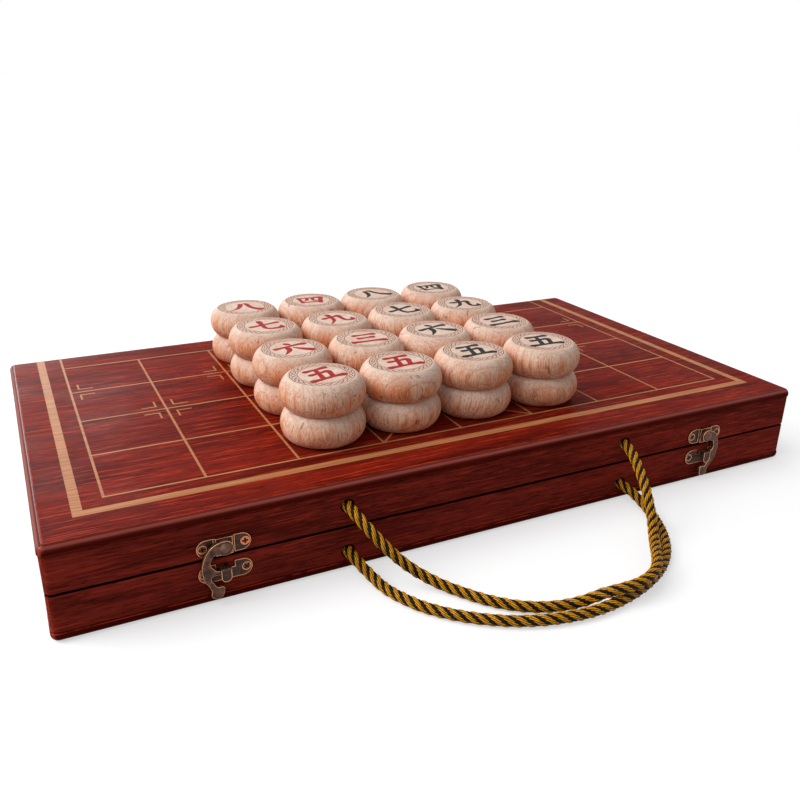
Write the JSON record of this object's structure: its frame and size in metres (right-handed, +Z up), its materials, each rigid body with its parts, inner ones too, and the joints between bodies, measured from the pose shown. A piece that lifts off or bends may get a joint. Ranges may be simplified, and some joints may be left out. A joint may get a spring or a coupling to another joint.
{
  "type": "folding xiangqi box",
  "caption": "Flat hinged wooden box whose two trays unfold into a xiangqi board, with swing-hook latches, cord loops and a set of round pieces stacked on its lid.",
  "frame": {"origin": "middle of the underside of the closed box, on the surface it stands on", "axes": "+X along the front to the right as seen from the front, +Y from the latches to the hinges, +Z up"},
  "size_m": [0.48, 0.366, 0.09],
  "materials": {
    "board_wood": "glossy red-brown lacquer over straight grain, with tan printed board lines",
    "rail_wood": "glossy dark maroon lacquer over straight grain",
    "piece_wood": "satin pale beech with printed rings and numerals",
    "antique_bronze": "dark antique bronze, worn to copper at the edges",
    "pin_steel": "plain drawn wire",
    "cord": "twisted gold strands with thin black strands between them"
  },
  "bodies": {
    "upper_half": {"lid_panel": "board_wood", "lid_front_rail": "rail_wood", "lid_back_rail": "rail_wood", "lid_left_rail": "rail_wood", "lid_right_rail": "rail_wood", "lid_hinge_leaves": "antique_bronze", "hinge_pins": "pin_steel", "lid_hinge_screws": "antique_bronze", "left_hook_plate": "antique_bronze", "right_hook_plate": "antique_bronze", "hook_rivets": "antique_bronze", "lid_latch_screws": "antique_bronze", "lid_cord": "cord"},
    "lower_half": {"base_panel": "board_wood", "base_front_rail": "rail_wood", "base_back_rail": "rail_wood", "base_left_rail": "rail_wood", "base_right_rail": "rail_wood", "base_hinge_leaves": "antique_bronze", "base_hinge_screws": "antique_bronze", "left_catch": "antique_bronze", "right_catch": "antique_bronze", "base_latch_screws": "antique_bronze", "base_cord": "cord"},
    "left_hook": {"left_hook": "antique_bronze"},
    "right_hook": {"right_hook": "antique_bronze"},
    "red_soldier_1": {"red_soldier_1": "piece_wood"},
    "red_soldier_2": {"red_soldier_2": "piece_wood"},
    "red_soldier_3": {"red_soldier_3": "piece_wood"},
    "red_soldier_4": {"red_soldier_4": "piece_wood"},
    "black_soldier_1": {"black_soldier_1": "piece_wood"},
    "black_soldier_2": {"black_soldier_2": "piece_wood"},
    "black_soldier_3": {"black_soldier_3": "piece_wood"},
    "black_soldier_4": {"black_soldier_4": "piece_wood"},
    "red_cannon_1": {"red_cannon_1": "piece_wood"},
    "red_cannon_2": {"red_cannon_2": "piece_wood"},
    "red_advisor_1": {"red_advisor_1": "piece_wood"},
    "red_advisor_2": {"red_advisor_2": "piece_wood"},
    "black_cannon_1": {"black_cannon_1": "piece_wood"},
    "black_cannon_2": {"black_cannon_2": "piece_wood"},
    "black_advisor_1": {"black_advisor_1": "piece_wood"},
    "black_advisor_2": {"black_advisor_2": "piece_wood"},
    "red_horse_1": {"red_horse_1": "piece_wood"},
    "red_horse_2": {"red_horse_2": "piece_wood"},
    "red_soldier_5": {"red_soldier_5": "piece_wood"},
    "red_general_1": {"red_general_1": "piece_wood"},
    "black_horse_1": {"black_horse_1": "piece_wood"},
    "black_horse_2": {"black_horse_2": "piece_wood"},
    "black_soldier_5": {"black_soldier_5": "piece_wood"},
    "black_general_1": {"black_general_1": "piece_wood"},
    "red_chariot_1": {"red_chariot_1": "piece_wood"},
    "red_chariot_2": {"red_chariot_2": "piece_wood"},
    "red_elephant_1": {"red_elephant_1": "piece_wood"},
    "red_elephant_2": {"red_elephant_2": "piece_wood"},
    "black_chariot_1": {"black_chariot_1": "piece_wood"},
    "black_chariot_2": {"black_chariot_2": "piece_wood"},
    "black_elephant_1": {"black_elephant_1": "piece_wood"},
    "black_elephant_2": {"black_elephant_2": "piece_wood"}
  },
  "joints": [
    {"name": "fold", "type": "hinge", "parent": "upper_half", "child": "lower_half", "pos_m": [0, 0.1354, 0.026], "axis": [1, 0, 0], "range_deg": [0, 180]},
    {"name": "left_hook_swing", "type": "hinge", "parent": "upper_half", "child": "left_hook", "pos_m": [-0.1565, -0.1375, 0.0326], "axis": [0, 1, 0], "range_deg": [0, 110]},
    {"name": "right_hook_swing", "type": "hinge", "parent": "upper_half", "child": "right_hook", "pos_m": [0.1625, -0.1375, 0.0326], "axis": [0, -1, 0], "range_deg": [0, 110]},
    {"name": "red_soldier_1_lift", "type": "slide", "parent": "upper_half", "child": "red_soldier_1", "axis": [0, 0, 1], "range_m": [0, 0.06]},
    {"name": "red_soldier_2_lift", "type": "slide", "parent": "red_soldier_1", "child": "red_soldier_2", "axis": [0, 0, 1], "range_m": [0, 0.06]},
    {"name": "red_soldier_3_lift", "type": "slide", "parent": "upper_half", "child": "red_soldier_3", "axis": [0, 0, 1], "range_m": [0, 0.06]},
    {"name": "red_soldier_4_lift", "type": "slide", "parent": "red_soldier_3", "child": "red_soldier_4", "axis": [0, 0, 1], "range_m": [0, 0.06]},
    {"name": "black_soldier_1_lift", "type": "slide", "parent": "upper_half", "child": "black_soldier_1", "axis": [0, 0, 1], "range_m": [0, 0.06]},
    {"name": "black_soldier_2_lift", "type": "slide", "parent": "black_soldier_1", "child": "black_soldier_2", "axis": [0, 0, 1], "range_m": [0, 0.06]},
    {"name": "black_soldier_3_lift", "type": "slide", "parent": "upper_half", "child": "black_soldier_3", "axis": [0, 0, 1], "range_m": [0, 0.06]},
    {"name": "black_soldier_4_lift", "type": "slide", "parent": "black_soldier_3", "child": "black_soldier_4", "axis": [0, 0, 1], "range_m": [0, 0.06]},
    {"name": "red_cannon_1_lift", "type": "slide", "parent": "upper_half", "child": "red_cannon_1", "axis": [0, 0, 1], "range_m": [0, 0.06]},
    {"name": "red_cannon_2_lift", "type": "slide", "parent": "red_cannon_1", "child": "red_cannon_2", "axis": [0, 0, 1], "range_m": [0, 0.06]},
    {"name": "red_advisor_1_lift", "type": "slide", "parent": "upper_half", "child": "red_advisor_1", "axis": [0, 0, 1], "range_m": [0, 0.06]},
    {"name": "red_advisor_2_lift", "type": "slide", "parent": "red_advisor_1", "child": "red_advisor_2", "axis": [0, 0, 1], "range_m": [0, 0.06]},
    {"name": "black_cannon_1_lift", "type": "slide", "parent": "upper_half", "child": "black_cannon_1", "axis": [0, 0, 1], "range_m": [0, 0.06]},
    {"name": "black_cannon_2_lift", "type": "slide", "parent": "black_cannon_1", "child": "black_cannon_2", "axis": [0, 0, 1], "range_m": [0, 0.06]},
    {"name": "black_advisor_1_lift", "type": "slide", "parent": "upper_half", "child": "black_advisor_1", "axis": [0, 0, 1], "range_m": [0, 0.06]},
    {"name": "black_advisor_2_lift", "type": "slide", "parent": "black_advisor_1", "child": "black_advisor_2", "axis": [0, 0, 1], "range_m": [0, 0.06]},
    {"name": "red_horse_1_lift", "type": "slide", "parent": "upper_half", "child": "red_horse_1", "axis": [0, 0, 1], "range_m": [0, 0.06]},
    {"name": "red_horse_2_lift", "type": "slide", "parent": "red_horse_1", "child": "red_horse_2", "axis": [0, 0, 1], "range_m": [0, 0.06]},
    {"name": "red_soldier_5_lift", "type": "slide", "parent": "upper_half", "child": "red_soldier_5", "axis": [0, 0, 1], "range_m": [0, 0.06]},
    {"name": "red_general_1_lift", "type": "slide", "parent": "red_soldier_5", "child": "red_general_1", "axis": [0, 0, 1], "range_m": [0, 0.06]},
    {"name": "black_horse_1_lift", "type": "slide", "parent": "upper_half", "child": "black_horse_1", "axis": [0, 0, 1], "range_m": [0, 0.06]},
    {"name": "black_horse_2_lift", "type": "slide", "parent": "black_horse_1", "child": "black_horse_2", "axis": [0, 0, 1], "range_m": [0, 0.06]},
    {"name": "black_soldier_5_lift", "type": "slide", "parent": "upper_half", "child": "black_soldier_5", "axis": [0, 0, 1], "range_m": [0, 0.06]},
    {"name": "black_general_1_lift", "type": "slide", "parent": "black_soldier_5", "child": "black_general_1", "axis": [0, 0, 1], "range_m": [0, 0.06]},
    {"name": "red_chariot_1_lift", "type": "slide", "parent": "upper_half", "child": "red_chariot_1", "axis": [0, 0, 1], "range_m": [0, 0.06]},
    {"name": "red_chariot_2_lift", "type": "slide", "parent": "red_chariot_1", "child": "red_chariot_2", "axis": [0, 0, 1], "range_m": [0, 0.06]},
    {"name": "red_elephant_1_lift", "type": "slide", "parent": "upper_half", "child": "red_elephant_1", "axis": [0, 0, 1], "range_m": [0, 0.06]},
    {"name": "red_elephant_2_lift", "type": "slide", "parent": "red_elephant_1", "child": "red_elephant_2", "axis": [0, 0, 1], "range_m": [0, 0.06]},
    {"name": "black_chariot_1_lift", "type": "slide", "parent": "upper_half", "child": "black_chariot_1", "axis": [0, 0, 1], "range_m": [0, 0.06]},
    {"name": "black_chariot_2_lift", "type": "slide", "parent": "black_chariot_1", "child": "black_chariot_2", "axis": [0, 0, 1], "range_m": [0, 0.06]},
    {"name": "black_elephant_1_lift", "type": "slide", "parent": "upper_half", "child": "black_elephant_1", "axis": [0, 0, 1], "range_m": [0, 0.06]},
    {"name": "black_elephant_2_lift", "type": "slide", "parent": "black_elephant_1", "child": "black_elephant_2", "axis": [0, 0, 1], "range_m": [0, 0.06]}
  ]
}
